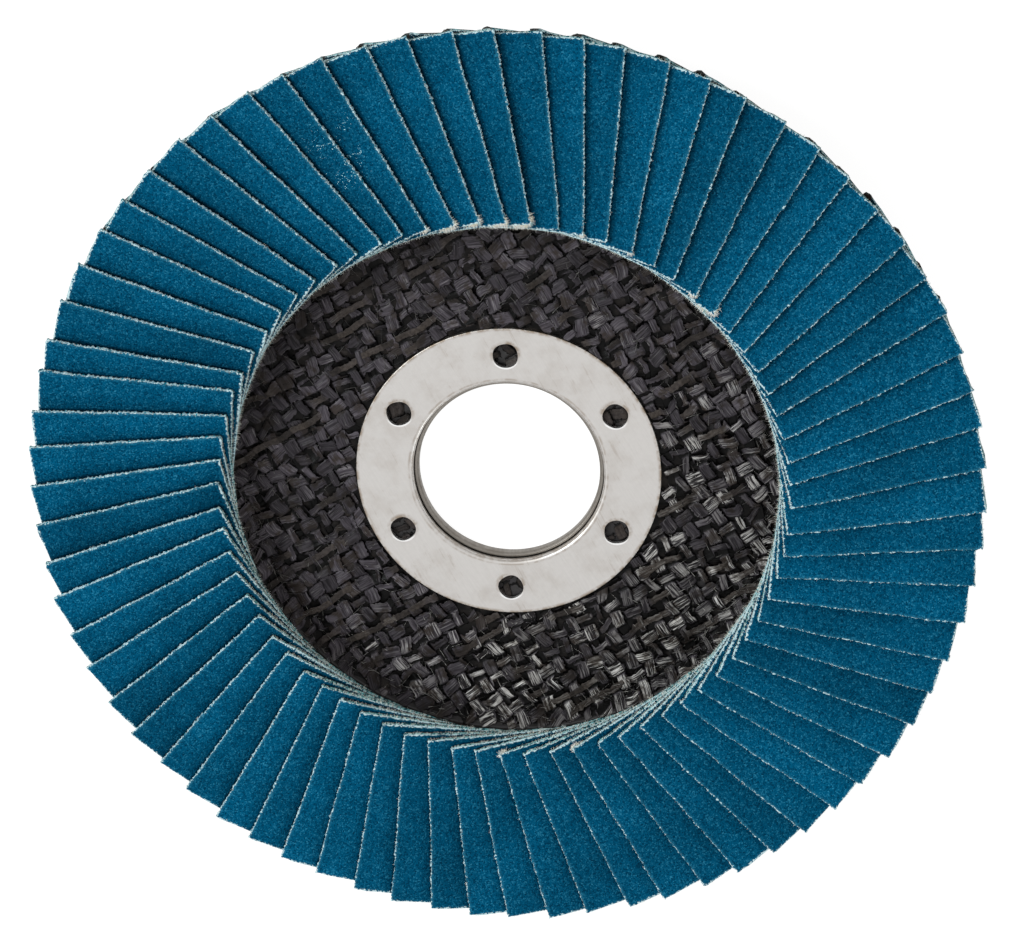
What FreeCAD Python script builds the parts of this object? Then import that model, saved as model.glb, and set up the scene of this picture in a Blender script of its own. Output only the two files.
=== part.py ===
import FreeCAD, Part
import math
import os
from FreeCAD import Vector

# A flap disc for an angle grinder, lying on its back with the flaps up.
# Z runs along the bore, and z = 0 is the rear face of the hub, where the
# grinder's flange bears. Lengths are millimetres and angles are degrees.

# Overall
disc_diameter = 115.0
bore_diameter = 22.23

# Pressed steel ring on the front of the hub, with its edge turned down at the bore
ring_width = 7.0
ring_sheet = 0.6
ring_lip_gap = 0.085
ring_lip_depth = 1.0
ring_lip_bevel = 0.4
ring_hole_count = 6
ring_hole_diameter = 3.1
ring_hole_angle = 90.0

# Steel eyelet pushed in from the rear, whose collar is the bore and ends under the ring's edge
eyelet_width = 6.4
eyelet_sheet = 0.5
eyelet_bevel = 0.35
eyelet_flare = 0.25
eyelet_gap = 0.1

# Moulded glass-fibre backing plate, with a sunk centre that has a flat floor
hub_core = 1.6
ring_recess = 0.35
eyelet_recess = 0.3
ring_fit = 0.15
lip_fit = 0.1
wall_width = 0.9
seat_lift = 1.65
plate_thickness = 2.0
rim_overhang = 3.5

# Yarn floats of the glass cloth that stand proud of the floor
yarn_pitch = 1.95
float_length = 1.75
float_width = 1.35
float_height = 0.28
float_root = 0.4
weave_angle = 30.0

# Adhesive that the flaps are set in
bed_depth = 0.6
bed_gap = 0.05
bed_inner_inset = 1.2
bed_outer_inset = 3.7

# Abrasive cloth flaps
flap_count = 72
flap_length = 23.7
flap_lead = 9.5
flap_trail = 7.0
cloth_thickness = 0.8
flap_gap = 0.08
face_rise = 0.6
flap_creases = 3
flap_phase = 4.1
flaps_per_node = 2

# Heights up the bore
eyelet_top = eyelet_sheet
ring_seat = eyelet_top + hub_core
ring_face = ring_seat + ring_sheet
hub_front = ring_seat + ring_recess
hub_rear = eyelet_top - eyelet_recess
flap_seat = hub_front + seat_lift
plate_rear = flap_seat - plate_thickness

# Radii of the steel, outwards from the bore
bore_radius = bore_diameter / 2
collar_radius = bore_radius + eyelet_sheet
eyelet_radius = bore_radius + eyelet_width
lip_bore = collar_radius + ring_lip_gap
lip_radius = lip_bore + ring_sheet
ring_radius = lip_bore + ring_width
hole_circle = lip_bore + ring_width / 2

# Each flap is a rectangle. Its rear edge is sunk in the adhesive, its lead edge
# lies on top, and it climbs one cloth and one gap for each flap that it covers.
flap_outer = math.sqrt((disc_diameter / 2) ** 2 - flap_lead ** 2)
flap_inner = flap_outer - flap_length
flap_pitch = 360.0 / flap_count
climb_per_degree = (cloth_thickness + flap_gap) / flap_pitch

# Radii of the plate and the adhesive, which carry the flaps
plate_radius = disc_diameter / 2 - rim_overhang
floor_radius = flap_inner
wall_top = floor_radius + wall_width
bed_inner = flap_inner + bed_inner_inset
bed_outer = flap_outer - bed_outer_inset


def revolve(points):
    """Solid turned about Z from a closed outline of (radius, height) points."""
    corners = [Vector(radius, 0, height) for radius, height in points]
    outline = Part.Face(Part.makePolygon(corners + corners[:1]))
    return outline.revolve(Vector(0, 0, 0), Vector(0, 0, 1), 360)


def edges_at(shape, radius, height):
    """Full-circle edges of one radius and height."""
    found = []
    for edge in shape.Edges:
        box = edge.BoundBox
        level = abs(box.ZMin - height) < 1e-4 and abs(box.ZMax - height) < 1e-4
        if level and abs(box.XMax - radius) < 1e-4:
            found.append(edge)
    return found


def bevelled(shape, radius, height, size):
    """Bevel the circular edge at a radius and height."""
    return shape.makeChamfer(size, edges_at(shape, radius, height))


def front_ring():
    ring = revolve([
        (lip_bore, ring_face), (ring_radius, ring_face), (ring_radius, ring_seat),
        (lip_radius, ring_seat), (lip_radius, ring_face - ring_lip_depth),
        (lip_bore, ring_face - ring_lip_depth)])
    ring = bevelled(ring, lip_bore, ring_face, ring_lip_bevel)
    for k in range(ring_hole_count):
        angle = math.radians(ring_hole_angle + 360.0 * k / ring_hole_count)
        place = Vector(math.cos(angle), math.sin(angle), 0) * hole_circle
        place.z = ring_seat - ring_sheet
        ring = ring.cut(Part.makeCylinder(ring_hole_diameter / 2, 3 * ring_sheet, place))
    return ring


def rear_eyelet():
    collar_top = ring_face - ring_lip_depth - eyelet_gap
    eyelet = revolve([
        (bore_radius, 0), (eyelet_radius, 0), (eyelet_radius, eyelet_top),
        (collar_radius, eyelet_top), (collar_radius, collar_top), (bore_radius, collar_top)])
    eyelet = bevelled(eyelet, bore_radius, 0, eyelet_bevel)
    return bevelled(eyelet, bore_radius, collar_top, eyelet_flare)


def yarn_floats():
    """Every second crossing of the weave, where a yarn passes over and shows as a pad."""
    corner = math.hypot(float_length, float_width) / 2
    innermost, outermost = ring_radius + ring_fit + corner, floor_radius - corner
    reach = math.ceil(floor_radius / yarn_pitch)
    floats = []
    for i in range(-reach, reach + 1):
        for j in range(-reach, reach + 1):
            if (i + j) % 2 or not innermost < yarn_pitch * math.hypot(i, j) < outermost:
                continue
            pad = Part.makeBox(float_length, float_width, float_root + float_height)
            pad.translate(Vector(
                i * yarn_pitch - float_length / 2, j * yarn_pitch - float_width / 2, hub_front - float_root))
            pad.rotate(Vector(0, 0, 0), Vector(0, 0, 1), weave_angle)
            floats.append(pad)
    return floats


def backing_plate():
    hub_bore = lip_radius + lip_fit
    rear_shift = plate_thickness * math.tan(math.atan2(seat_lift, wall_width) / 2)
    plate = revolve([
        (hub_bore, eyelet_top), (eyelet_radius + ring_fit, eyelet_top),
        (eyelet_radius + ring_fit, hub_rear), (floor_radius + rear_shift, hub_rear),
        (wall_top + rear_shift, plate_rear), (plate_radius, plate_rear),
        (plate_radius, flap_seat), (wall_top, flap_seat), (floor_radius, hub_front),
        (ring_radius + ring_fit, hub_front), (ring_radius + ring_fit, ring_seat),
        (hub_bore, ring_seat)])
    return plate.fuse(yarn_floats())


def flap_end(reach, lead_height):
    """Corners of a flap's end at one distance from the axis: lead and trail edge, top then bottom."""
    lead_angle = math.degrees(math.atan2(-flap_lead, reach))
    trail_angle = math.degrees(math.atan2(flap_trail, reach))
    trail_height = lead_height - climb_per_degree * (trail_angle - lead_angle)
    return [
        Vector(reach, -flap_lead, lead_height), Vector(reach, flap_trail, trail_height),
        Vector(reach, flap_trail, trail_height - cloth_thickness),
        Vector(reach, -flap_lead, lead_height - cloth_thickness)]


def flap_ends():
    """Inner and outer end of the flap on the X axis. Its inner end starts from the bed."""
    inner = flap_end(flap_inner, 0)
    lift = flap_seat + bed_depth - inner[2].z
    inner = [corner + Vector(0, 0, lift) for corner in inner]
    return inner, flap_end(flap_outer, inner[0].z + face_rise)


def adhesive_bed():
    """Ring of adhesive whose face follows the sunk edges of the flaps."""
    inner, outer = flap_ends()
    low, high = inner[2], outer[2]
    low_radius, high_radius = math.hypot(low.x, low.y), math.hypot(high.x, high.y)
    slope = (high.z - low.z) / (high_radius - low_radius)
    outline = [(bed_inner, flap_seat), (bed_outer, flap_seat)]
    for radius in (bed_outer, bed_inner):
        outline.append((radius, low.z + slope * (radius - low_radius) - bed_gap))
    return revolve(outline)


def flap(number):
    """One flap, turned to its place. Flat facets between its creases follow its twist."""
    inner, outer = flap_ends()
    spans = flap_creases + 1
    rows = [[start + (stop - start) * (k / spans) for start, stop in zip(inner, outer)]
            for k in range(spans + 1)]
    outlines = [rows[0], rows[-1]]
    for lead, trail in ((0, 1), (3, 2)):
        for near, far in zip(rows, rows[1:]):
            outlines.append([near[lead], near[trail], far[lead]])
            outlines.append([far[lead], near[trail], far[trail]])
    for top, bottom in ((0, 3), (1, 2)):
        outlines.append([row[top] for row in rows] + [row[bottom] for row in reversed(rows)])
    faces = [Part.Face(Part.makePolygon(outline + outline[:1])) for outline in outlines]
    sheet = Part.Solid(Part.makeShell(faces))
    sheet.rotate(Vector(0, 0, 0), Vector(0, 0, 1), flap_phase + flap_pitch * number)
    return sheet


def flap_groups():
    """Neighbouring flaps as separate solids, a few to a node."""
    groups = {}
    for first in range(0, flap_count, flaps_per_node):
        name = "flap_pair_%02d" % (first // flaps_per_node + 1)
        members = range(first, min(first + flaps_per_node, flap_count))
        groups[name] = Part.makeCompound([flap(number) for number in members])
    return groups


def export(name, shape):
    shape.exportStep("parts/%s.step" % name)
    print(name, "solids", len(shape.Solids), "valid", shape.isValid(), "volume", round(shape.Volume, 1))


os.makedirs("parts", exist_ok=True)
export("front_ring", front_ring())
export("rear_eyelet", rear_eyelet())
export("backing_plate", backing_plate())
export("adhesive_bed", adhesive_bed())
for name, shape in flap_groups().items():
    export(name, shape)
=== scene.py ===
import math
from functools import partial

import bpy
import numpy as np
from mathutils import Matrix, Vector


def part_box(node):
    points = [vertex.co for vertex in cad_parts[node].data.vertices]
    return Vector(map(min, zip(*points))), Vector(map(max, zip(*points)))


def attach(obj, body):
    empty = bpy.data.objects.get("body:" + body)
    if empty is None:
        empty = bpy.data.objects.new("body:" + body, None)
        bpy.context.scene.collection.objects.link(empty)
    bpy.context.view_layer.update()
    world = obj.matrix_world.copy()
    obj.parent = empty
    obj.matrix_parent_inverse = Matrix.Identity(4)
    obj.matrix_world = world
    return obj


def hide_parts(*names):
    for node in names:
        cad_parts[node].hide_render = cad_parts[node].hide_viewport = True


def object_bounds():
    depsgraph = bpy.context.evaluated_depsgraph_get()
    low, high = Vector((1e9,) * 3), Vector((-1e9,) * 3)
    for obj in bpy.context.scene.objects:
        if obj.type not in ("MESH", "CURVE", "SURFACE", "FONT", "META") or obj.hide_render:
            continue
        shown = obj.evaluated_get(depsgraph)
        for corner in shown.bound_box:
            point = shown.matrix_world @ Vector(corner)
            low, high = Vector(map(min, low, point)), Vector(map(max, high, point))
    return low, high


# A flap disc on its back: cloth flaps, woven plate, steel ring and eyelet.
# Sizes in the dictionaries are millimetres and degrees; meshes are made in metres.

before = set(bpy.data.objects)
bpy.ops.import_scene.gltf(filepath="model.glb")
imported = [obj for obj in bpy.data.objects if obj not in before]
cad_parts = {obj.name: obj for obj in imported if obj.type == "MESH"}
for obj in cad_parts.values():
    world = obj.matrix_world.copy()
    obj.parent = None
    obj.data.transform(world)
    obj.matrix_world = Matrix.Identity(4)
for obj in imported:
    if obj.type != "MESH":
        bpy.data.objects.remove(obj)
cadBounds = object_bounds()
mm = 0.001
dice = np.random.default_rng(41)
discRadius, discTop = cadBounds[1][0] / mm, cadBounds[1][2] / mm
print("frame loaded, disc radius", round(discRadius, 2), "top", round(discTop, 2))


def nodeBox(name):
    return [[value / mm for value in corner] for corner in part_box(name)]


def innerRadius(name):
    # the bore of a node, read from its own mesh
    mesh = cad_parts[name].data
    spots = np.empty(len(mesh.vertices) * 3, dtype=np.float32)
    mesh.vertices.foreach_get("co", spots)
    spots = spots.reshape(-1, 3)
    return float(np.hypot(spots[:, 0], spots[:, 1]).min()) / mm


def buildMesh(name, points, faces, extras=None):
    mesh = bpy.data.meshes.new(name)
    count, sides = faces.shape
    mesh.vertices.add(len(points))
    mesh.vertices.foreach_set("co", (points * mm).astype(np.float32).ravel())
    mesh.loops.add(count * sides)
    mesh.loops.foreach_set("vertex_index", faces.astype(np.int32).ravel())
    mesh.polygons.add(count)
    mesh.polygons.foreach_set("loop_start", np.arange(count, dtype=np.int32) * sides)
    mesh.update(calc_edges=True)
    mesh.polygons.foreach_set("use_smooth", np.ones(count, dtype=bool))
    for key, values in (extras or {}).items():
        kind, field = ("FLOAT_VECTOR", "vector") if values.ndim == 2 else ("FLOAT", "value")
        layer = mesh.attributes.new(key, kind, "POINT")
        layer.data.foreach_set(field, values.astype(np.float32).ravel())
    return mesh


def place(name, shape, materials, slotName, *replaced):
    # shape is points, faces and perhaps stored values
    mesh = buildMesh(name, *shape)
    piece = bpy.data.objects.new(name, mesh)
    bpy.context.scene.collection.objects.link(piece)
    for material in materials:
        mesh.materials.append(material)
    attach(piece, "root")
    if replaced:
        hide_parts(*replaced)
    return piece


def arcCorner(before, corner, after, size, steps=5):
    # points of a round that cuts one corner of an outline
    corner = np.array(corner, float)
    toBefore, toAfter = np.array(before, float) - corner, np.array(after, float) - corner
    toBefore /= np.linalg.norm(toBefore)
    toAfter /= np.linalg.norm(toAfter)
    half = math.acos(np.clip(toBefore @ toAfter, -1, 1)) / 2
    reach = size / math.tan(half)
    bisector = (toBefore + toAfter) / np.linalg.norm(toBefore + toAfter)
    middle = corner + bisector * (size / math.sin(half))
    first, last = corner + toBefore * reach, corner + toAfter * reach
    chords = [first + (last - first) * k / steps - middle for k in range(steps + 1)]
    return [tuple(middle + chord / np.linalg.norm(chord) * size) for chord in chords]


def roundedOutline(corners):
    # corners are (radius, height, round); the outline is closed
    points = []
    for k, (radius, height, size) in enumerate(corners):
        before, after = corners[k - 1][:2], corners[(k + 1) % len(corners)][:2]
        points += arcCorner(before, (radius, height), after, size) if size else [(radius, height)]
    return points


def splitLong(points, longest):
    # adds points on the long runs of a closed outline
    result = []
    for start, stop in zip(points, points[1:] + points[:1]):
        pieces = max(1, math.ceil(math.dist(start, stop) / longest))
        result += [tuple(a + (b - a) * part / pieces for a, b in zip(start, stop))
                   for part in range(pieces)]
    return result


def loopFaces(a, b):
    # quads between two neighbouring closed loops of point numbers, or stacks of them
    corners = [a, b, np.roll(b, -1, axis=-1), np.roll(a, -1, axis=-1)]
    return np.stack(corners, axis=-1).reshape(-1, 4)


def lathe(outline, steps):
    # an outline of (radius, height) turned about the bore
    profile = np.array(outline)
    turns = np.linspace(0, 2 * math.pi, steps, endpoint=False)[:, None]
    radius = profile[:, 0][None, :]
    height = np.broadcast_to(profile[:, 1], (steps, len(profile)))
    points = np.stack([radius * np.cos(turns), radius * np.sin(turns), height], axis=2)
    a = np.arange(steps * len(profile)).reshape(steps, len(profile))
    return points.reshape(-1, 3), loopFaces(a, np.roll(a, -1, axis=0))[:, ::-1]


class NodeKit:
    # short calls for the nodes of a material or of the world
    def __init__(self, owner):
        owner.use_nodes = True
        self.owner, self.tree = owner, owner.node_tree

    def add(self, kind, links, **settings):
        node = self.tree.nodes.new("ShaderNode" + kind)
        for key, value in settings.items():
            setattr(node, key, value)
        for key, value in links.items():
            self.feed(node.inputs[key], value)
        return node

    def feed(self, socket, value):
        if isinstance(value, bpy.types.NodeSocket):
            self.tree.links.new(value, socket)
        else:
            socket.default_value = (*value, 1.0) if socket.type == "RGBA" else value

    def calc(self, operation, first, second=0.0, clamp=False):
        links = {0: first, 1: second}
        return self.add("Math", links, operation=operation, use_clamp=clamp).outputs[0]

    def plus(self, first, second):
        return self.calc("ADD", first, second)

    def minus(self, first, second):
        return self.calc("SUBTRACT", first, second)

    def times(self, first, second):
        return self.calc("MULTIPLY", first, second)

    def distance(self, first, second=(0, 0, 0)):
        return self.add("VectorMath", {0: first, 1: second}, operation="DISTANCE").outputs["Value"]

    def parts(self, vector):
        return self.add("SeparateXYZ", {0: vector}).outputs[:3]

    def fade(self, value, start, stop, low=0.0, high=1.0):
        links = {0: value, 1: start, 2: stop, 3: low, 4: high}
        return self.add("MapRange", links, interpolation_type="SMOOTHSTEP").outputs[0]

    def mix(self, factor, first, second, mode="MIX"):
        links = {0: factor, 6: first, 7: second}
        return self.add("Mix", links, data_type="RGBA", blend_type=mode).outputs[2]

    def dimmed(self, shade, share):
        grey = self.add("CombineColor", {k: share for k in range(3)}).outputs[0]
        return self.mix(1.0, shade, grey, "MULTIPLY")

    def noise(self, vector, scale, detail=2.0, roughness=0.5):
        links = {"Vector": vector, "Scale": scale, "Detail": detail, "Roughness": roughness}
        return self.add("TexNoise", links).outputs[0]

    def tools(self):
        return self.fade, self.mix, self.noise, self.times, self.plus, self.minus

    def cells(self, scale):
        return self.add("TexVoronoi", {"Vector": self.space, "Scale": scale})

    def mapped(self, vector, scale, turn=0.0):
        links = {"Vector": vector, "Scale": scale, "Rotation": (0, 0, math.radians(turn))}
        return self.add("Mapping", links).outputs[0]

    def brushed(self, turn, across, along):
        # streaks that run along a direction in the XY plane
        return self.mapped(self.mapped(self.space, (1, 1, 1), -turn), (along, across, along))

    def stored(self, name, output="Fac"):
        return self.add("Attribute", {}, attribute_name=name).outputs[output]

    def relief(self, height, depth, strength):
        # bump of a height from 0 to 1 that is depth millimetres deep, on top of the last one
        links = {"Height": height, "Distance": depth * mm, "Strength": strength}
        normal = self.shader.inputs["Normal"]
        if normal.is_linked:
            links["Normal"] = normal.links[0].from_socket
        self.feed(normal, self.add("Bump", links).outputs[0])

    def finish(self, shade, roughness, **values):
        self.feed(self.shader.inputs["Base Color"], shade)
        self.feed(self.shader.inputs["Roughness"], roughness)
        for key, value in values.items():
            self.feed(self.shader.inputs[key.replace("_", " ")], value)


def newFinish(name):
    kit = NodeKit(bpy.data.materials.new(name))
    kit.shader = kit.tree.nodes["Principled BSDF"]
    kit.space = kit.add("TexCoord", {}).outputs["Object"]
    return kit


# the scuffed patch whose crystals get painted highlights
scuffGlint = {"centre": (-18.1, 42.6, 10.6), "core": 1.6, "reach": 8.0, "crystals": 4600}

gritLook = {
    "crystals": 5400, "speckle": 6400,
    "deep": (0.0, 0.036, 0.082), "blue": (0.0, 0.084, 0.176), "bright": (0.026, 0.215, 0.350),
    "glintSpots": (0.55, 0.93, 0.97), "rim": (0.075, 0.36, 0.48),
    "thread": (0.40, 0.65, 0.71), "paleThread": (0.80, 0.96, 0.99),
    "endThread": (0.92, 0.95, 0.82), "endTeal": (0.075, 0.43, 0.47),
    "sizeOnLead": (0.020, 0.30, 0.42), "sizeOnEnds": (0.008, 0.085, 0.105),
    "undersideAndShade": (0.030, 0.026, 0.024), "cornerShadow": (0.030, 0.021, 0.015),
}


def gritMaterial():
    look, kit = gritLook, newFinish("gritCloth")
    fade, mix, noise, times, plus, minus = kit.tools()
    space, cut = kit.space, kit.stored("cloth", "Vector")
    depth = kit.parts(cut)[2]
    rim, tone, cover, tips = [kit.stored(name) for name in ("rim", "tone", "cover", "tips")]
    # mineral: fine crystals with a few pale and a few dark ones
    crystals = kit.cells(look["crystals"])
    facet = kit.add("SeparateColor", {0: crystals.outputs["Color"]}).outputs[0]
    speckle = noise(space, look["speckle"], 3, 0.6)
    level = plus(times(facet, 0.34), times(speckle, 0.66))
    mineral = mix(fade(level, 0.28, 0.52), look["deep"], look["blue"])
    mineral = mix(fade(level, 0.56, 0.78), mineral, look["bright"])
    patches = fade(noise(space, 130, 3), 0.3, 0.7, 0.86, 1.1)
    shade = plus(patches, times(tone, 0.16))
    # painted shade darkens the crevice beside the flap on top, and more faintly a wider band beside
    # it
    creviceShade = times(fade(cover, 0.0, 0.42, 0.36, 1.0), fade(cover, 0.1, 2.4, 0.80, 1.03))
    mineral = kit.dimmed(mineral, times(shade, creviceShade))
    # a scuffed patch where single crystals shine white: the shine is painted highlights
    away = kit.distance(space, tuple(part * mm for part in scuffGlint["centre"]))
    rubbedGlints = times(fade(away, scuffGlint["core"] * mm, scuffGlint["reach"] * mm, 0.33, 0.0),
                   fade(noise(space, 420, 3, 0.6), 0.42, 0.68))
    glintSpots = kit.calc("LESS_THAN", kit.cells(scuffGlint["crystals"]).outputs["Distance"], rubbedGlints)
    mineral = mix(times(glintSpots, fade(facet, 0.45, 0.7)), mineral, look["glintSpots"])
    # cut cloth: a ragged cream line at the rim, cream walls that darken downwards with painted
    # shade
    ragged = noise(kit.mapped(cut, (1, 1, 0.5)), 2.9, 3, 0.7)
    pale = times(fade(rim, 0.0, 0.45, 0.22, 0.0), fade(tips, 0.0, 1.0, 1.0, 0.3))
    mineral = mix(pale, mineral, look["rim"])
    width = plus(times(minus(ragged, 0.495), 1.1), times(tips, 0.09))
    bare = fade(minus(width, rim), -0.03, 0.03)
    wall = fade(depth, 0.02, 0.06)
    # the cut threads show as pale beads with dark blue grit and size between them
    threads = noise(kit.mapped(cut, (1, 1, 0.35)), 3.1, 2, 0.7)
    threads = minus(threads, times(tips, 0.035))
    strands = noise(kit.mapped(cut, (1, 1, 0.5)), 9.0, 2, 0.6)
    cream = mix(fade(strands, 0.3, 0.7), look["thread"], look["paleThread"])
    between = mix(tips, look["sizeOnLead"], look["sizeOnEnds"])
    ends = mix(times(tips, fade(strands, 0.45, 0.6)), cream, look["endThread"])
    ends = mix(times(tips, fade(ragged, 0.45, 0.54, 0.0, 0.8)), ends, look["endTeal"])
    beads = mix(fade(threads, 0.40, 0.48), between, ends)
    # painted shade: the lower wall takes the underside's dark colour
    beads = mix(fade(depth, 0.40, 0.66), beads, look["undersideAndShade"])
    shown = kit.calc("MAXIMUM", bare, wall)
    coated = mix(shown, mineral, mix(wall, cream, beads))
    # painted shade, in a ragged patch over the sunk outer corner
    cornerShade = plus(kit.stored("cornerShadow"), times(noise(space, 900, 2), 0.5))
    coated = mix(fade(cornerShade, 0.80, 1.05, 0.0, 0.93), coated, look["cornerShadow"])
    kit.finish(coated, fade(facet, 0.2, 1.0, 0.62, 0.9), Specular_IOR_Level=0.012)
    kit.relief(minus(1.0, crystals.outputs["Distance"]), 0.10, 0.75)
    kit.relief(speckle, 0.06, 0.6)
    return kit.owner


cottonLook = {"dull": (0.86, 0.83, 0.70), "pale": (0.99, 0.985, 0.95), "sized": (0.10, 0.44, 0.52)}


def cottonMaterial():
    # cream cotton ends, some with blue size on them
    look, kit = cottonLook, newFinish("cutFibre")
    shade = kit.mix(kit.fade(kit.noise(kit.space, 1600), 0.35, 0.60), look["dull"], look["pale"])
    sized = kit.fade(kit.noise(kit.space, 1150), 0.57, 0.64, 0.0, 0.6)
    kit.finish(kit.mix(sized, shade, look["sized"]), 0.8, Specular_IOR_Level=0.2)
    return kit.owner


yarnLook = {
    "fine": (0.30, 6.2, 9.0), "coarse": (0.34, 2.3, 9.0), "single": (0.42, 8.6, 9.0),
    "soaked": (0.016, 0.0135, 0.0165), "soakedStreak": (0.088, 0.078, 0.091),
    "dryAndLit": (0.009, 0.008, 0.008), "litStreak": (0.42, 0.405, 0.385), "glint": (0.62, 0.61, 0.60),
    "blot": (0.024, 0.018, 0.014), "gap": (0.0022, 0.002, 0.002),
    "film": (0.021, 0.0165, 0.014), "paleFilm": (0.058, 0.048, 0.041),
    "looseDark": (0.05, 0.046, 0.042), "loosePale": (0.66, 0.64, 0.60),
    "looseStain": (0.02, 0.018, 0.017),
}


def yarnMaterial():
    # flat bundles of resin-black glass fibre: every fibre is a streak along its yarn
    look, kit = yarnLook, newFinish("glassYarn")
    fade, mix, noise, times, plus, minus = kit.tools()
    space, yarn = kit.space, kit.stored("yarn", "Vector")
    tone, unshaded, resin = kit.parts(yarn)[2], kit.stored("unshaded"), kit.stored("resin")
    fine = noise(kit.mapped(yarn, look["fine"]), 1.0, 2, 0.7)
    coarse = noise(kit.mapped(yarn, look["coarse"]), 1.0, 2, 0.6)
    streak = plus(times(fine, 0.55), times(coarse, 0.45))
    blots = noise(space, 430, 4, 0.6)
    mottle = noise(space, 2600, 3, 0.65)
    # fibres are grey where less resin soaked in, and this is also painted light: one side of the
    # plate, and single floats elsewhere, are painted lighter with painted highlight streaks
    x, y, _ = kit.parts(space)
    # painted light: the colour grows lighter towards one side of the plate
    lean = minus(times(x, 21.0), times(y, 23.0))
    lean = plus(lean, times(noise(space, 150, 3), 2.2))
    dryAndLit = fade(plus(lean, times(tone, 0.95)), 1.74, 2.95)
    dryAndLit = times(dryAndLit, fade(unshaded, 0.35, 0.9))
    soaked = mix(fade(streak, 0.36, 0.64), look["soaked"], look["soakedStreak"])
    bare = mix(fade(streak, 0.485, 0.555), look["dryAndLit"], look["litStreak"])
    base = mix(dryAndLit, soaked, bare)
    # single fibres that catch the light
    single = noise(kit.mapped(yarn, look["single"]), 1.0, 1, 0.5)
    glint = times(fade(single, 0.60, 0.68), plus(times(dryAndLit, 0.75), 0.14))
    base = mix(glint, base, look["glint"])
    base = mix(times(fade(blots, 0.50, 0.62), 0.82), base, look["blot"])
    # bands are flat and smooth, a dull brown
    film = mix(fade(mottle, 0.3, 0.7), look["film"], look["paleFilm"])
    base = mix(times(resin, 0.85), base, film)
    base = kit.dimmed(base, fade(tone, 0.0, 1.0, 0.55, 1.35))
    # painted shade: gaps, the resin between the yarns and the parts that dip under take the
    # near-black gap colour
    base = mix(fade(unshaded, 0.08, 0.50), look["gap"], base)
    kit.finish(base, fade(coarse, 0.35, 0.65, 0.28, 0.55), Specular_IOR_Level=0.1)
    showing = fade(dryAndLit, 0.0, 0.7, 0.30, 1.0)
    kit.relief(fine, 0.16, showing)
    kit.relief(coarse, 0.24, showing)
    kit.relief(mottle, 0.03, 0.6)
    return kit.owner


def looseFibreMaterial():
    look, kit = yarnLook, newFinish("dryFibre")
    tone = kit.parts(kit.stored("yarn", "Vector"))[2]
    shade = kit.mix(tone, look["looseDark"], look["loosePale"])
    shade = kit.mix(kit.fade(kit.noise(kit.space, 1500), 0.4, 0.6), look["looseStain"], shade)
    kit.finish(shade, 0.35, Specular_IOR_Level=0.5)
    return kit.owner


resinLook = {"deep": (0.011, 0.010, 0.010), "shown": (0.022, 0.020, 0.021),
             "grain": (0.045, 0.041, 0.038)}


def resinMaterial():
    # the moulded plate: black resin with the cloth's pattern just felt through it
    look, kit = resinLook, newFinish("mouldedResin")
    turned = kit.parts(kit.mapped(kit.space, (1, 1, 1), weave["angle"]))
    pace = 2 * math.pi / (2 * weave["pitch"] * mm)
    waves = [kit.calc("SINE", kit.times(part, pace)) for part in turned[:2]]
    checks = kit.fade(kit.times(*waves), -0.5, 0.5)
    flow = kit.noise(kit.space, 240, 4, 0.6)
    grain = kit.noise(kit.space, 2600, 3, 0.6)
    base = kit.mix(kit.fade(flow, 0.35, 0.65), look["deep"], look["shown"])
    base = kit.mix(kit.fade(grain, 0.6, 0.75), base, look["grain"])
    kit.finish(base, kit.fade(flow, 0.3, 0.7, 0.42, 0.62), Specular_IOR_Level=0.4)
    kit.relief(checks, 0.07, 0.8)
    kit.relief(grain, 0.05, 0.6)
    return kit.owner


glueLook = {"dark": (0.030, 0.020, 0.014), "brown": (0.085, 0.060, 0.040)}


def glueMaterial():
    kit = newFinish("setAdhesive")
    flow = kit.noise(kit.space, 420, 4, 0.6)
    base = kit.mix(kit.fade(flow, 0.35, 0.65), glueLook["dark"], glueLook["brown"])
    kit.finish(base, kit.fade(flow, 0.3, 0.7, 0.3, 0.55))
    kit.relief(flow, 0.25, 0.8)
    return kit.owner


ringSteel = {
    "base": (0.60, 0.58, 0.56), "stainAndShade": (0.25, 0.19, 0.135), "roughness": 0.40,
    # the bore ring nearest the lip is painted shade that dims the lip's highlight
    "edgeRing": (0.55, 0.95), "boreRings": ((0.48, 0.24, 0.55), (0.06, 0.36, 0.55)),
    # the pale colour is a painted highlight at one side of each hole
    "holeHighlight": (0.92, 0.92, 0.915),
}
eyeletSteel = {"base": (0.27, 0.25, 0.225), "stainAndShade": (0.10, 0.075, 0.055), "roughness": 0.44,
               "boreRings": ((0.0, 0.5, 0.35),)}


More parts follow.
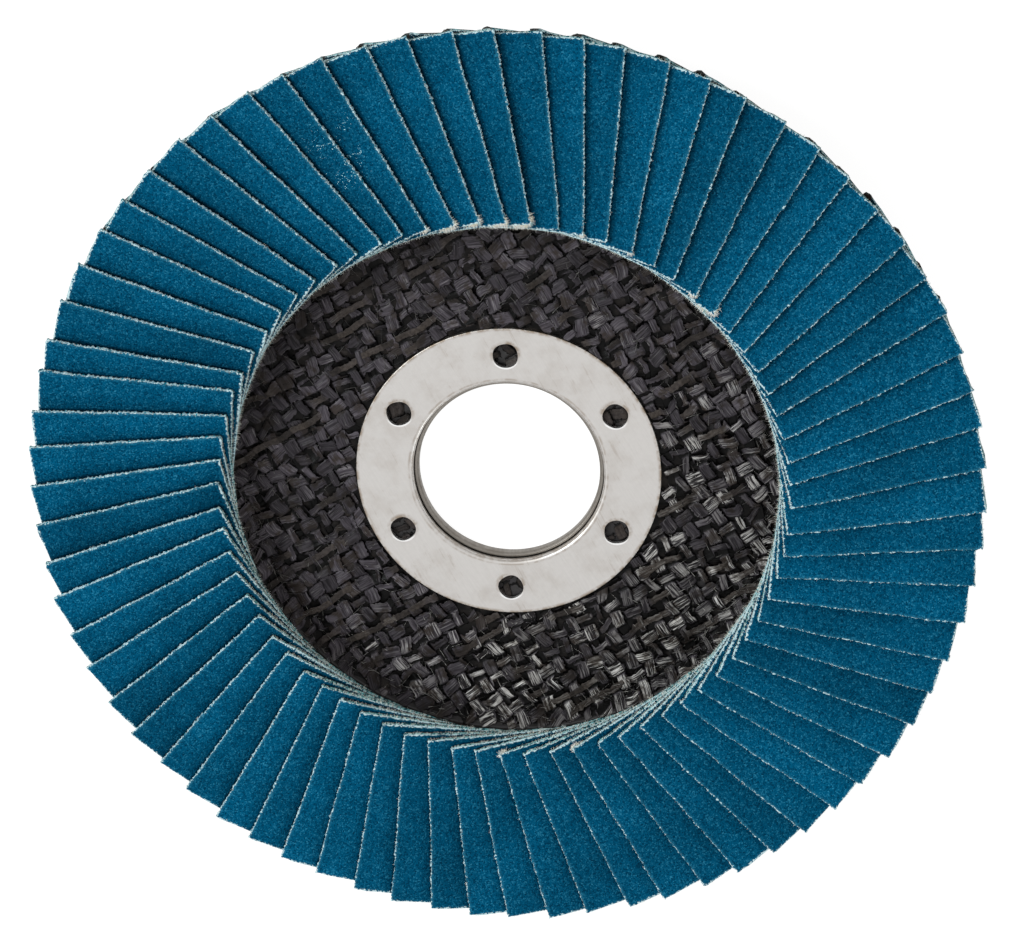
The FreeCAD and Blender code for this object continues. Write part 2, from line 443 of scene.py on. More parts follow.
def steelMaterial(name, look, darkRings, holes=()):
    # the given rings are (radius, width, strength) of brownish rings, some of them stains and the
    # one on the ring's bore lip painted shade; holes have marks of their own
    kit = newFinish(name)
    fade, mix, noise, times, plus, minus = kit.tools()
    x, y, _ = kit.parts(kit.space)
    flat = kit.add("CombineXYZ", {0: x, 1: y}).outputs[0]
    radius = kit.distance(flat)
    smudge = noise(kit.space, 260, 5, 0.65)
    specks = noise(kit.space, 1900, 3, 0.6)
    brush = noise(kit.brushed(121, 4300, 210), 1.0, 3, 0.6)
    scratches = noise(kit.brushed(116, 3900, 170), 1.0, 2, 0.5)
    blotchy = fade(noise(kit.space, 780, 3, 0.65), 0.40, 0.60, 0.25, 1.0)
    dirtAndShade = times(fade(smudge, 0.42, 0.72), 0.20)
    scored = times(fade(scratches, 0.57, 0.68), fade(smudge, 0.47, 0.62, 0.03, 0.36))
    dirtAndShade = kit.calc("MAXIMUM", dirtAndShade, scored)
    for at, width, strength in darkRings:
        away = kit.calc("ABSOLUTE", minus(radius, at * mm))
        ringed = times(fade(away, 0.0, width * mm, strength, 0.0), blotchy)
        dirtAndShade = kit.calc("MAXIMUM", dirtAndShade, ringed)
    worn = plus(fade(specks, 0.3, 0.7, 0.0, 0.10), fade(brush, 0.35, 0.7, 0.0, 0.13))
    clean = mix(worn, look["base"], tuple(part * 0.72 for part in look["base"]))
    holeHighlight = 0.0
    for holeX, holeY, size in holes:
        # a painted highlight on one side of each hole stands for its lit rolled edge; a brown halo
        # is darkest on the other side
        centre = (holeX * mm, holeY * mm, 0)
        fromHole = kit.add("VectorMath", {0: flat, 1: centre}, operation="SUBTRACT").outputs[0]
        away = kit.distance(fromHole)
        side = kit.calc("DIVIDE", kit.parts(fromHole)[1], size * mm)
        halo = times(fade(away, (size + 0.08) * mm, (size + 0.62) * mm, 0.85, 0.0),
                     fade(side, -0.9, 0.8, 0.15, 1.0))
        dirtAndShade = kit.calc("MAXIMUM", dirtAndShade, times(halo, blotchy))
        rolledHighlight = times(fade(away, (size + 0.10) * mm, (size + 0.26) * mm, 0.8, 0.0),
                       fade(side, -0.9, -0.35, 1.0, 0.0))
        holeHighlight = kit.calc("MAXIMUM", holeHighlight, rolledHighlight)
    coated = mix(dirtAndShade, clean, look["stainAndShade"])
    if holes:
        coated = mix(holeHighlight, coated, look["holeHighlight"])
    roughness = fade(brush, 0.25, 0.75, look["roughness"] - 0.06, look["roughness"] + 0.08)
    kit.finish(coated, roughness, Metallic=1.0)
    kit.relief(brush, 0.006, 0.5)
    kit.relief(specks, 0.008, 0.5)
    return kit.owner


# the steel of the CAD model, which the other pieces are fitted round
ringBore, eyeletBore = innerRadius("front_ring"), innerRadius("rear_eyelet")
ringEdge, _, ringFace = nodeBox("front_ring")[1]

cloth = {
    "count": 72, "perNode": 2, "phase": 4.1,
    "length": 23.7, "lead": 9.5, "trail": 7.0, "thickness": 0.8, "gap": 0.08, "rise": 0.6,
    "columns": 132, "turnSpread": 0.22, "trimSpread": 0.14, "liftSpread": 0.03, "toneSpread": 0.45,
    "edgeWave": 0.045, "edgeRag": 0.055, "threadPitch": 0.52, "threadBulge": 0.07, "undercut": 0.16,
    "cornerRound": 0.75, "cornerDroop": 0.10, "rimDroop": 0.06, "clear": 0.02,
    "wallDepths": (0.13, 0.40, 0.64), "wallOut": (0.03, 0.03, -0.05), "wallBulge": (0.7, 1.0, 0.5),
}
hairs = {
    "onLead": 22, "onOuter": 40, "onInner": 140, "length": (0.10, 0.34), "thickness": 0.05,
    "spread": 0.42, "bend": 0.25,
    "tufts": {19: 1.3, 20: 0.9, 21: 0.8, 22: 1.0, 23: 0.5, 11: 1.1, 12: 0.5, 15: 0.3, 17: 0.4,
              59: 0.5, 56: 0.4},
    "tuftFibres": 230, "tuftLength": (0.25, 0.72), "tuftThickness": 0.09, "tuftBend": 0.14,
}


def trailDrop(reach):
    # how far a flap's rear edge is below its lead edge, at one distance from the axis
    span = math.degrees(math.atan2(cloth["lead"], reach) + math.atan2(cloth["trail"], reach))
    return (cloth["thickness"] + cloth["gap"]) * cloth["count"] / 360 * span


# what the cloth, the plate and the adhesive share
clothWidth = cloth["lead"] + cloth["trail"]
outerReach = math.sqrt(discRadius ** 2 - cloth["lead"] ** 2)
innerReach = outerReach - cloth["length"]
leadInner = discTop - cloth["rise"]
trailInner, trailOuter = leadInner - trailDrop(innerReach), discTop - trailDrop(outerReach)
seatHeight, floorHeight = nodeBox("adhesive_bed")[0][2], ringFace - 0.25

moulding = {
    "floorDrop": 0.45, "ringRecess": 0.15, "hubGap": 0.1, "ringSink": 0.3,
    "wallWidth": 0.9, "wallShift": 1.19, "thickness": 2.0, "round": 0.3,
    "steps": 216, "longest": 2.5,
}
wallTop = innerReach + moulding["wallWidth"]

weave = {
    "pitch": 1.95, "angle": 30.0, "step": 0.22,
    "innerEdge": 18.92, "ringGap": 0.08, "overlap": 0.28,
    "yarnWidth": 1.40, "soakedWidth": 0.34, "widthSpread": 0.09,
    "slimShare": 0.36, "slimWidth": 0.58, "slimSkew": 0.24,
    "sway": 0.17, "swaySharp": 3.6, "sunk": (-0.11, 0.05), "sunkSoaked": 1.1, "tilt": 0.09,
    "roll": 0.13, "rollSoaked": 0.14, "skew": 0.17, "stray": 0.17,
    "ribs": (-1, -0.82, -0.6, -0.36, -0.13, 0.1, 0.34, 0.6, 0.82, 1.0),
    "crown": 0.02, "ridge": 0.028, "fuzz": 0.007, "edgeRag": 0.075, "root": 0.12,
    "bandWidth": 0.80, "bandLift": 0.07, "bandShare": 0.32, "bandLength": 2.2,
    "holePatch": 2.35, "patchDrop": 0.55, "holeShadeFactor": 0.40,
}
fill = {
    "low": -0.30, "high": -0.19, "wave": 0.09, "waveLengths": (1.15, 3.4), "wallRise": -0.26,
    "wallWave": 0.08, "steps": 400, "rows": 60, "edge": 34.25,
}
loose = {
    "count": 1300, "wallShare": 0.5, "length": (0.5, 2.1), "thickness": 0.055,
    "stray": 16, "bend": 0.14, "wallBend": 0.34,
}

ring = {
    "sheet": 0.6, "lipDepth": 1.0, "lipRound": 0.42, "edgeRound": 0.12, "steps": 288,
    "holeCount": 6, "holeRadius": 1.55, "holeAngle": 90.0, "holeRound": 0.15, "holeSquare": 0.022,
}
middle = (ringBore + ringEdge) / 2
holeTurns = [math.radians(ring["holeAngle"] + 360 * k / ring["holeCount"])
             for k in range(ring["holeCount"])]
holeCentres = [(middle * math.cos(turn), middle * math.sin(turn)) for turn in holeTurns]


def floorUnder(radius):
    # the sunk floor, and then the wall that climbs to where the flaps are seated
    foot, rise = innerReach - 0.3, seatHeight - floorHeight
    return floorHeight + rise * np.clip((radius - foot) / (wallTop - foot), 0, 1)


def yarnRuns(along, aside, line):
    # one yarn of the cloth, cut where the ring hides it and frayed where the flaps begin
    outerEdge = wallTop + weave["overlap"]
    way = np.arange(-outerEdge, outerEdge, weave["step"])
    x, y = (way[:, None] * along + line * weave["pitch"] * aside).T
    radius = np.hypot(x, y)
    shown = (radius > weave["innerEdge"]) & (radius < outerEdge - dice.uniform(0, 0.3))
    patch = np.zeros(len(way), dtype=bool)
    for holeX, holeY in holeCentres:
        patch |= np.hypot(x - holeX, y - holeY) < weave["holePatch"]
    edges = np.flatnonzero(np.diff(np.concatenate([[0], (shown | patch).astype(int), [0]])))
    for start, stop in zip(edges[::2], edges[1::2]):
        if stop - start > 3:
            yield way[start:stop], patch[start:stop].all()


def overKnots(way, spacing, draw):
    # random values blended along the yarn, about one to each spacing
    knots = max(3, int((way[-1] - way[0]) / spacing) + 2)
    return np.interp(way, np.linspace(way[0], way[-1], knots), draw(knots))


def soakedShare(x, y):
    # how much resin the cloth holds: most of it at one side of the plate
    return np.clip(0.5 - (15 * x - 17 * y) * mm * 0.85, 0, 1)


def patchy(x, y, spacing, spread):
    # smooth random heights over the floor
    count = int(2 * fill["edge"] / spacing) + 4
    grid = dice.normal(0, spread, (count, count))
    u, v = (x + fill["edge"]) / spacing + 1, (y + fill["edge"]) / spacing + 1
    i, j = np.floor(u).astype(int), np.floor(v).astype(int)
    u, v = u - i, v - j
    u, v = u * u * (3 - 2 * u), v * v * (3 - 2 * v)
    near = grid[i, j] * (1 - u) + grid[i + 1, j] * u
    return near * (1 - v) + (grid[i, j + 1] * (1 - u) + grid[i + 1, j + 1] * u) * v


def resinFill():
    # the resin that stands between the yarns, high where the cloth is soaked
    turns = np.linspace(0, 2 * math.pi, fill["steps"], endpoint=False)
    radii = np.linspace(weave["innerEdge"] - 0.25, fill["edge"], fill["rows"])
    radius, turn = [part.ravel() for part in np.meshgrid(radii, turns)]
    x, y = radius * np.cos(turn), radius * np.sin(turn)
    soaked = soakedShare(x, y)
    rise = fill["low"] + (fill["high"] - fill["low"]) * soaked
    for spacing in fill["waveLengths"]:
        rise = rise + patchy(x, y, spacing, fill["wave"])
    climb = np.clip((radius - innerReach + 0.6) / 1.2, 0, 1)
    rise = rise * (1 - climb) + (fill["wallRise"] + patchy(x, y, 0.6, fill["wallWave"])) * climb
    points = np.stack([x, y, floorUnder(radius) + rise], axis=1)
    a = np.arange(len(x)).reshape(fill["steps"], fill["rows"])
    b = np.roll(a, -1, axis=0)
    faces = np.stack([a[:, :-1], a[:, 1:], b[:, 1:], b[:, :-1]], axis=2).reshape(-1, 4)
    # painted shade: the resin between the yarns is mostly darkened to the gap colour
    unshaded = np.clip(0.10 + 0.07 * soaked + patchy(x, y, 0.9, 0.10), 0, 1)
    yarn = np.stack([x, y, np.full(len(x), 0.5)], axis=1)
    return points, faces, {"yarn": yarn, "unshaded": unshaded, "resin": np.ones(len(x))}


def yarnSheet(family):
    # all the yarns that run one way; they pass over and under those of the other family
    points, faces, yarn, unshaded, finish = [], [], [], [], []
    pitch, ribs = weave["pitch"], np.array(weave["ribs"])
    total, loop = 0, len(ribs) + 2
    turn = math.radians(weave["angle"] + 90 * family)
    along = np.array([math.cos(turn), math.sin(turn)])
    aside = np.array([-along[1], along[0]])
    reach = math.ceil(innerReach / pitch) + 1
    runs = ((line, way, patch) for line in range(-reach, reach + 1)
            for way, patch in yarnRuns(along, aside, line))
    for line, way, patch in runs:
        count = len(way)
        floats = np.round(way / pitch).astype(int)
        floats -= floats[0]
        many = floats[-1] + 1
        # long stretches where a warp yarn lies on top, flattened and full of resin
        band = np.zeros(count)
        if family == 0 and not patch:
            chance = overKnots(way, weave["bandLength"] * pitch, partial(dice.uniform, 0, 1))
            band = np.clip((weave["bandShare"] - chance) / 0.12, 0, 1)
        free = 1 - band
        over = np.cos(math.pi * (way / pitch + line)) * (1 if family == 0 else -1)
        swing = np.tanh(weave["swaySharp"] * over) / math.tanh(weave["swaySharp"])
        swing = swing + (1.0 - swing) * band
        onTop = np.clip(swing, 0, 1) * free
        slim = dice.uniform(0, 1, many) < weave["slimShare"]
        spots = way[:, None] * along + line * pitch * aside
        soaked = soakedShare(spots[:, 0], spots[:, 1])
        swollen = weave["yarnWidth"] + weave["soakedWidth"] * soaked
        share = np.where(slim, weave["slimWidth"], 1.0) + dice.normal(0, weave["widthSpread"], many)
        wide = swollen * share[floats] * (1 - 0.08 * (1 - np.abs(over)) ** 2)
        half = (wide + (weave["bandWidth"] - wide) * band) / 2
        sunk = dice.uniform(*weave["sunk"], many)[floats] * (1 + weave["sunkSoaked"] * soaked)
        fromMiddle = way - np.round(way / pitch) * pitch
        tilt = dice.normal(0, weave["tilt"], many)[floats] * fromMiddle
        height = weave["sway"] * swing + (sunk + tilt) * onTop + weave["bandLift"] * band
        # across the yarn: ridges of fibre bundles, ragged edges, a roll to one side
        ridges = (dice.normal(0, weave["ridge"], (many, len(ribs)))[floats]
                  + dice.normal(0, weave["fuzz"], (count, len(ribs)))) * (1 - 0.75 * band)[:, None]
        sides = ribs[None, :] * half[:, None]
        sides[:, [0, -1]] += dice.normal(0, weave["edgeRag"], (count, 2)) * (-1, 1)
        crown = weave["crown"] * np.clip(1 - np.abs(ribs) ** 6, 0, 1)[None, :] + ridges
        roll = dice.normal(0, 1, many)[floats] * free
        roll = roll * (weave["roll"] + weave["rollSoaked"] * soaked)
        tops = height[:, None] + crown + roll[:, None] * sides
        tops = np.minimum(tops, weave["sway"] + weave["bandLift"] + 0.05)
        lows = np.repeat((height - weave["root"])[:, None], 2, axis=1)
        sides = np.concatenate([sides, sides[:, [-1, 0]] * 0.92], axis=1)
        tops = np.concatenate([tops, lows], axis=1)
        # floats lie askew and the whole yarn strays from its line
        aslant = np.where(slim, dice.normal(0, weave["slimSkew"], many), 0)[floats]
        aslant = aslant + dice.normal(0, weave["skew"], many)[floats] * fromMiddle
        stray = overKnots(way, pitch, partial(dice.normal, 0, weave["stray"]))
        offset = line * pitch + (stray + aslant * free)[:, None] + sides
        flat = way[:, None, None] * along + offset[:, :, None] * aside
        if not patch:
            apart = (ringEdge + weave["ringGap"]) / np.hypot(flat[:, :, 0], flat[:, :, 1])
            flat *= np.maximum(1, apart)[:, :, None]
        level = floorUnder(np.hypot(flat[:, :, 0], flat[:, :, 1]))
        level -= weave["patchDrop"] if patch else 0
        points.append(np.concatenate([flat, (level + tops)[:, :, None]], axis=2).reshape(-1, 3))
        a = total + np.arange(count * loop).reshape(count, loop)
        faces.append(loopFaces(a[:-1], a[1:]))
        tones = dice.uniform(0, 1, many)[floats]
        ways, tones = [np.repeat(part[:, None], loop, 1) for part in (way, tones)]
        yarn.append(np.stack([ways, sides + 7.3 * line, tones], axis=2).reshape(-1, 3))
        # painted shade: yarns are darker where they dip under the other family, at their edges, and
        # under the ring's holes
        shown = np.clip((swing[:, None] + 1) / 2 - 0.22 * np.abs(sides / half[:, None]) ** 8, 0, 1)
        unshaded.append(shown.reshape(-1) * (weave["holeShadeFactor"] if patch else 1.0))
        finish.append(np.repeat(np.maximum(band, 0.95) if patch else band, loop))
        total += count * loop
    points, faces, yarn, unshaded, finish = map(np.concatenate, (points, faces, yarn, unshaded, finish))
    return points, faces, {"yarn": yarn, "unshaded": unshaded, "resin": finish}


def thinFibres(starts, directions, lengths, thickness, bend, joints=3):
    # three-sided tapering fibres; bend is how far the tip wanders
    count = len(starts)
    directions = directions / np.linalg.norm(directions, axis=1)[:, None]
    sides = np.cross(directions, (0, 0, 1.0))
    sides /= np.maximum(np.linalg.norm(sides, axis=1), 1e-6)[:, None]
    rises = np.cross(sides, directions)
    wander = dice.normal(0, np.broadcast_to(bend, count)[:, None], (count, 2)) * lengths[:, None]
    bow = sides * wander[:, :1] + rises * wander[:, 1:]
    points = []
    for part in np.linspace(0, 1, joints):
        middle = starts + directions * lengths[:, None] * part + bow * part ** 2
        size = thickness * (1 - 0.75 * part) / 2
        for turn in (0, 2 * math.pi / 3, 4 * math.pi / 3):
            points.append(middle + size * (sides * math.cos(turn) + rises * math.sin(turn)))
    a = np.arange(count * joints * 3).reshape(count, joints, 3)
    b = np.roll(a, -1, axis=2)
    faces = np.stack([a[:, :-1], b[:, :-1], b[:, 1:], a[:, 1:]], axis=3)
    return np.stack(points, axis=1).reshape(-1, 3), faces.reshape(-1, 4)


def looseFibres():
    # short ends of glass lying on the cloth, and standing out of it where it is cut at the wall
    count = loose["count"]
    turns = dice.uniform(0, 2 * math.pi, count)
    atWall = dice.uniform(0, 1, count) < loose["wallShare"]
    onWall = dice.uniform(innerReach - 1.2, wallTop, count)
    onFloor = dice.uniform((weave["innerEdge"] + 0.6) ** 2, (innerReach - 0.8) ** 2, count)
    radius = np.where(atWall, onWall, np.sqrt(onFloor))
    top = floorUnder(radius) + weave["sway"] + weave["bandLift"]
    starts = np.stack([radius * np.cos(turns), radius * np.sin(turns), top], axis=1)
    family = weave["angle"] + 90 * dice.integers(0, 2, count)
    family = np.radians(family + dice.normal(0, loose["stray"], count) * np.where(atWall, 2.6, 1))
    climb = dice.uniform(-0.06, 0.02, count) + np.where(atWall, 0.35, 0)
    directions = np.stack([np.cos(family), np.sin(family), climb], axis=1)
    lengths = dice.uniform(*loose["length"], count)
    outBound = (directions[:, :2] * starts[:, :2]).sum(axis=1) > 0
    directions[atWall & outBound, :2] *= -1
    bend = np.where(atWall, loose["wallBend"], loose["bend"])
    points, faces = thinFibres(starts, directions, lengths, loose["thickness"], bend)
    tones = dice.uniform(0.4, 1, count) * (1 - 0.8 * soakedShare(starts[:, 0], starts[:, 1]))
    tones = np.repeat(tones, len(points) // count)
    yarn = np.stack([points[:, 0] * 0.2, points[:, 1] * 0.2, tones], axis=1)
    return points, faces, {"yarn": yarn, "unshaded": np.ones(len(tones)), "resin": np.zeros(len(tones))}


def makePlate():
    low, high = nodeBox("backing_plate")
    rear, foot, shift = low[2], innerReach, moulding["wallShift"]
    floor = floorHeight - moulding["floorDrop"]
    under, rimRound = seatHeight - moulding["thickness"], moulding["round"]
    seatUnderRing = ringFace - ring["sheet"] - moulding["ringSink"]
    recess = ringEdge + moulding["ringRecess"]
    hubBore = ringBore + ring["sheet"] + moulding["hubGap"]
    eyeletEdge = nodeBox("rear_eyelet")[1][0] + moulding["ringRecess"]
    outline = roundedOutline([
        (hubBore, eyelet["sheet"], 0), (eyeletEdge, eyelet["sheet"], 0.05), (eyeletEdge, rear, 0.2),
        (foot + shift, rear, 1.4), (wallTop + shift, under, 1.2), (high[0], under, rimRound),
        (high[0], seatHeight, rimRound), (wallTop, seatHeight, rimRound),
        (foot, floor, 0.4), (recess, floor, 0.1), (recess, seatUnderRing, 0),
        (hubBore, seatUnderRing, 0)])
    shape = lathe(splitLong(outline, moulding["longest"]), moulding["steps"])
    place("mouldedPlate", shape, [resinMaterial()], "glass_fibre", "backing_plate")
    glassYarn, dryFibre = yarnMaterial(), looseFibreMaterial()
    place("resinFill", resinFill(), [glassYarn], "glass_fibre")
    place("warpYarns", yarnSheet(0), [glassYarn], "glass_fibre")
    place("weftYarns", yarnSheet(1), [glassYarn], "glass_fibre")
    place("looseYarnFibres", looseFibres(), [dryFibre], "glass_fibre")
    print("plate and woven cloth made")


def makeRing():
    bore, edge, face, sheet = ringBore, ringEdge, ringFace, ring["sheet"]
    lipEnd = face - ring["lipDepth"]
    outline = roundedOutline([
        (bore, face, ring["lipRound"]), (edge, face, ring["edgeRound"]), (edge, face - sheet, 0.05),
        (bore + sheet, face - sheet, 0.1), (bore + sheet, lipEnd, 0.05), (bore, lipEnd, 0.1)])
    darkRings = [(edge, *ringSteel["edgeRing"])]
    darkRings += [(bore + out, width, strength) for out, width, strength in ringSteel["boreRings"]]
    holes = [(x, y, ring["holeRadius"]) for x, y in holeCentres]
    satinSteel = steelMaterial("satinSteel", ringSteel, darkRings, holes)
    turned = lathe(outline, ring["steps"])
    piece = place("steelRing", turned, [satinSteel], "ring_steel", "front_ring")
    punches = []
    for x, y, radius in holes:
        bpy.ops.mesh.primitive_cylinder_add(vertices=48, radius=radius * mm, depth=4 * mm,
                                            location=(x * mm, y * mm, face * mm))
        punches.append(bpy.context.object)
        lean, bite = dice.uniform(0, 2 * math.pi, 2)
        for point in punches[-1].data.vertices:
            turn = math.atan2(point.co.y, point.co.x)
            uneven = math.cos(4 * turn + lean) + 0.5 * math.cos(3 * turn + bite)
            point.co.xy *= 1 + ring["holeSquare"] * uneven
    bpy.ops.object.select_all(action="DESELECT")
    for punch in punches:
        punch.select_set(True)
    bpy.context.view_layer.objects.active = punches[0]
    bpy.ops.object.join()
    cut = piece.modifiers.new("holes", "BOOLEAN")
    cut.operation, cut.object, cut.solver = "DIFFERENCE", punches[0], "EXACT"
    soften = piece.modifiers.new("softEdges", "BEVEL")
    soften.width, soften.segments = ring["holeRound"] * mm, 4
    soften.limit_method, soften.angle_limit = "ANGLE", math.radians(60)
    # swap in the mesh with the holes cut and their edges softened
    seen = piece.evaluated_get(bpy.context.evaluated_depsgraph_get())
    shaped = bpy.data.meshes.new_from_object(seen)
    piece.modifiers.clear()
    piece.data = shaped
    shaped.set_sharp_from_angle(angle=math.radians(40))
    for side in shaped.polygons:
        if abs(side.normal.z) > 0.9995:
            side.use_smooth = False
    bpy.data.objects.remove(punches[0], do_unlink=True)
    print("ring made with", len(holeCentres), "holes")


eyelet = {"sheet": 0.5, "flare": 0.25, "rearRound": 0.48, "steps": 240, "longest": 1.5}


def makeEyelet():
    low, high = nodeBox("rear_eyelet")
    bore, sheet, flare, rear = eyeletBore, eyelet["sheet"], eyelet["flare"], low[2]
    outline = roundedOutline([
        (bore, rear, eyelet["rearRound"]), (high[0], rear, 0.1), (high[0], rear + sheet, 0.1),
        (bore + sheet, rear + sheet, 0.1), (bore + sheet, high[2], 0.05),
        (bore + flare, high[2], 0.08), (bore, high[2] - flare, 0.3)])
    darkRings = [(bore + out, width, strength) for out, width, strength in eyeletSteel["boreRings"]]
    place("boreEyelet", lathe(splitLong(outline, eyelet["longest"]), eyelet["steps"]),
          [steelMaterial("eyeletSteel", eyeletSteel, darkRings)], "eyelet_steel", "rear_eyelet")


adhesive = {"steps": 540, "wave": 0.10, "innerInset": 1.2, "outerRound": 0.5, "innerRound": 0.3,
            "longest": 1.6, "ripples": (9, 17, 31, 53, 72, 97)}


def makeBed():
    edge, _, top = nodeBox("adhesive_bed")[1]
    innerEdge = innerReach + adhesive["innerInset"]
    slope = (trailOuter - trailInner) / (
        math.hypot(outerReach, cloth["trail"]) - math.hypot(innerReach, cloth["trail"]))
    outline = roundedOutline([
        (innerEdge, seatHeight, 0), (edge, seatHeight, 0), (edge, top, adhesive["outerRound"]),
        (innerEdge, top - slope * (edge - innerEdge), adhesive["innerRound"])])
    points, quads = lathe(splitLong(outline, adhesive["longest"]), adhesive["steps"])
    # the squeezed-out edge ripples
    turns, radius = np.arctan2(points[:, 1], points[:, 0]), np.hypot(points[:, 0], points[:, 1])
    ripple = sum(np.sin(turns * k + dice.uniform(0, 6.28) + points[:, 2] * 0.7) / math.sqrt(k)
                 for k in adhesive["ripples"])
    outer = (radius > edge - 0.4) & (points[:, 2] > seatHeight + 0.1)
    push = (-0.08 + adhesive["wave"] * ripple * 0.35) / radius
    points[outer, :2] *= 1 + push[outer, None]
    place("setAdhesive", (points, quads), [glueMaterial()], "adhesive", "adhesive_bed")
    print("eyelet and adhesive made")


# what all the flaps share: their grid of points, its border and faces, and stored distances
near = np.array([0, 0.09, 0.21, 0.38, 0.6])
inside = np.linspace(0.8, cloth["length"] - 0.8, cloth["columns"] - 2 * len(near))
fromInner = np.concatenate([near, inside, cloth["length"] - near[::-1]])[:, None]
toOuter = cloth["length"] - fromInner
fromTrail = np.array([2.6, 1.3, 0.45, 0])
fromLead = np.concatenate([[0, 0.08, 0.2, 0.4, 0.8, 1.6, 3.2], clothWidth - fromTrail])
columns, rows = len(fromInner), len(fromLead)
grid = np.arange(columns * rows).reshape(columns, rows)
border = np.concatenate([grid[:, 0], grid[-1, 1:], grid[-2::-1, -1], grid[0, -2:0:-1]])
outward = np.stack([(border // rows == columns - 1) * 1.0 - (border // rows == 0),
                    (border % rows == rows - 1) * 1.0 - (border % rows == 0)], axis=1)
outward /= np.linalg.norm(outward, axis=1)[:, None]
# the underside is flat, so it needs points only at its rim and ends
kept = np.zeros((columns, rows), dtype=bool)
kept[:2] = kept[-2:] = kept[:, 0] = kept[:, -1] = True
kept = kept.reshape(-1)
under = np.full(columns * rows, -1)
under[kept] = columns * rows + np.arange(kept.sum())
cells = np.stack([grid[:-1, :-1], grid[1:, :-1], grid[1:, 1:], grid[:-1, 1:]], axis=2)
strips = np.stack([grid[1:-2, -1], grid[2:-1, -1], grid[2:-1, 0], grid[1:-2, 0]], axis=1)
flatCells = np.concatenate([cells[0, :, ::-1], cells[-1, :, ::-1], strips])
flapFaces = [cells.reshape(-1, 4), under[flatCells]]
walls = columns * rows + kept.sum() + np.arange(3 * len(border)).reshape(3, -1)
for upper, lower in zip([border, *walls], [*walls, under[border]]):
    flapFaces.append(loopFaces(upper, lower))
flapFaces = np.concatenate(flapFaces)
# distance from the cut, depth below the grit, and painted shade at the sunk outer corner
flapRim = np.minimum(np.minimum(fromInner, toOuter), fromLead).reshape(-1)
flapDepth = np.concatenate([np.zeros(len(flapRim)), np.full(kept.sum(), cloth["thickness"]),
                            np.repeat(cloth["wallDepths"], len(border))])
flapRim = np.concatenate([flapRim, flapRim[kept], np.zeros(3 * len(border))])
flapCornerShadow = np.hypot(toOuter, (clothWidth - fromLead) * 0.9).reshape(-1)
flapCornerShadow = np.clip(1.35 - flapCornerShadow / 1.6, 0, 1)
flapCornerShadow = np.concatenate([flapCornerShadow, flapCornerShadow[kept], np.tile(flapCornerShadow[border], 3)])


def flapFace(trimInner, trimOuter):
    # the gritted face climbs to its lead edge, and droops a little there
    length = cloth["length"]
    part, share = fromInner / length, fromLead / clothWidth
    lead = leadInner + (discTop - leadInner) * part
    trail = trailInner + (trailOuter - trailInner) * part
    top = lead + (trail - lead) * share
    top = top - cloth["cornerDroop"] * np.exp(-toOuter / 1.1) * np.exp(-fromLead / 5.0)
    top = top - cloth["rimDroop"] * np.exp(-fromLead / 0.35)
    top = top + dice.normal(0, cloth["liftSpread"]) * (1 - share) - cloth["clear"]
    # the knife's line wanders a little, and the sunk outer corner is worn round
    wander = np.interp(fromInner, np.linspace(0, length, 7), dice.normal(0, cloth["edgeWave"], 7))
    size = cloth["cornerRound"]
    u = np.clip(1 - toOuter / size, 0, 1)
    v = np.clip(1 - (clothWidth - fromLead) / size, 0, 1)
    reach = innerReach + trimInner + fromInner * (1 - (trimInner + trimOuter) / length)
    reach = reach + size * (u * np.sqrt(1 - v * v / 2) - u)
    across = fromLead - cloth["lead"] + wander * np.exp(-fromLead / 2.5)
    across = across + size * (v * np.sqrt(1 - u * u / 2) - v)
    return np.stack([reach, across, top], axis=2).reshape(-1, 3)


def makeFlap(number, aheadTurn, trims, aheadTrim):
    top = flapFace(*trims)
    under = top - np.array([0, 0, cloth["thickness"]])
    # cut threads stand out of the walls, one every half millimetre or so
    gaps = np.hypot(*np.diff(top[border, :2], axis=0, append=top[border[:1], :2]).T)
    way = np.concatenate([[0], np.cumsum(gaps)])
    slow = np.interp(way[:-1], np.linspace(0, way[-1], 40), dice.normal(0, 1.4, 40))
    threads = cloth["threadBulge"] * np.sin(2 * math.pi * way[:-1] / cloth["threadPitch"] + slow)
    rag = dice.normal(0, cloth["edgeRag"], (len(border), 3))
    rag = (rag + np.roll(rag, 1, axis=0)) * 0.72
    levels = []
    walls = zip(cloth["wallDepths"], cloth["wallOut"], cloth["wallBulge"])
    for k, (depth, out, share) in enumerate(walls):
        level = top[border]
        level[:, :2] += outward * (out + share * threads + rag[:, k])[:, None]
        level[:, 2] -= depth + rag[:, k - 1] * 0.5
        levels.append(level)
    top[border, :2] += outward * (rag[:, 0] + 0.4 * threads)[:, None]
    under[border, :2] -= outward * cloth["undercut"]
    points = np.concatenate([top, under[kept]] + levels)
    x, y = points[:, 0], points[:, 1]
    # what the material needs to know: place on the cloth, its cut ends, and the
    # distance to the next flap, which lies on this one: to its lead edge or to its inner end,
    # beside which shade is painted
    along, side = math.cos(aheadTurn), math.sin(aheadTurn)
    ahead = (x - cloth["lead"] * side) * math.tan(aheadTurn) - cloth["lead"] * along
    toEnd = innerReach + aheadTrim - x * along - y * side
    innerTips = np.clip(1.5 - (x - innerReach - trims[0]) / 0.5, 0, 1)
    outerTips = np.clip(1.3 - (outerReach - trims[1] - x) / 0.5, 0, 0.75)
    stored = np.concatenate([points[:, :2] + 37.0 * number, flapDepth[:, None]], axis=1)
    return points, {"cloth": stored, "rim": flapRim, "cornerShadow": flapCornerShadow,
                    "tone": np.full(len(points), dice.normal(0, cloth["toneSpread"])),
                    "cover": np.maximum(ahead - y, 0.12 + 1.4 * toEnd),
                    "tips": np.maximum(innerTips, outerTips)}, way, top[border]


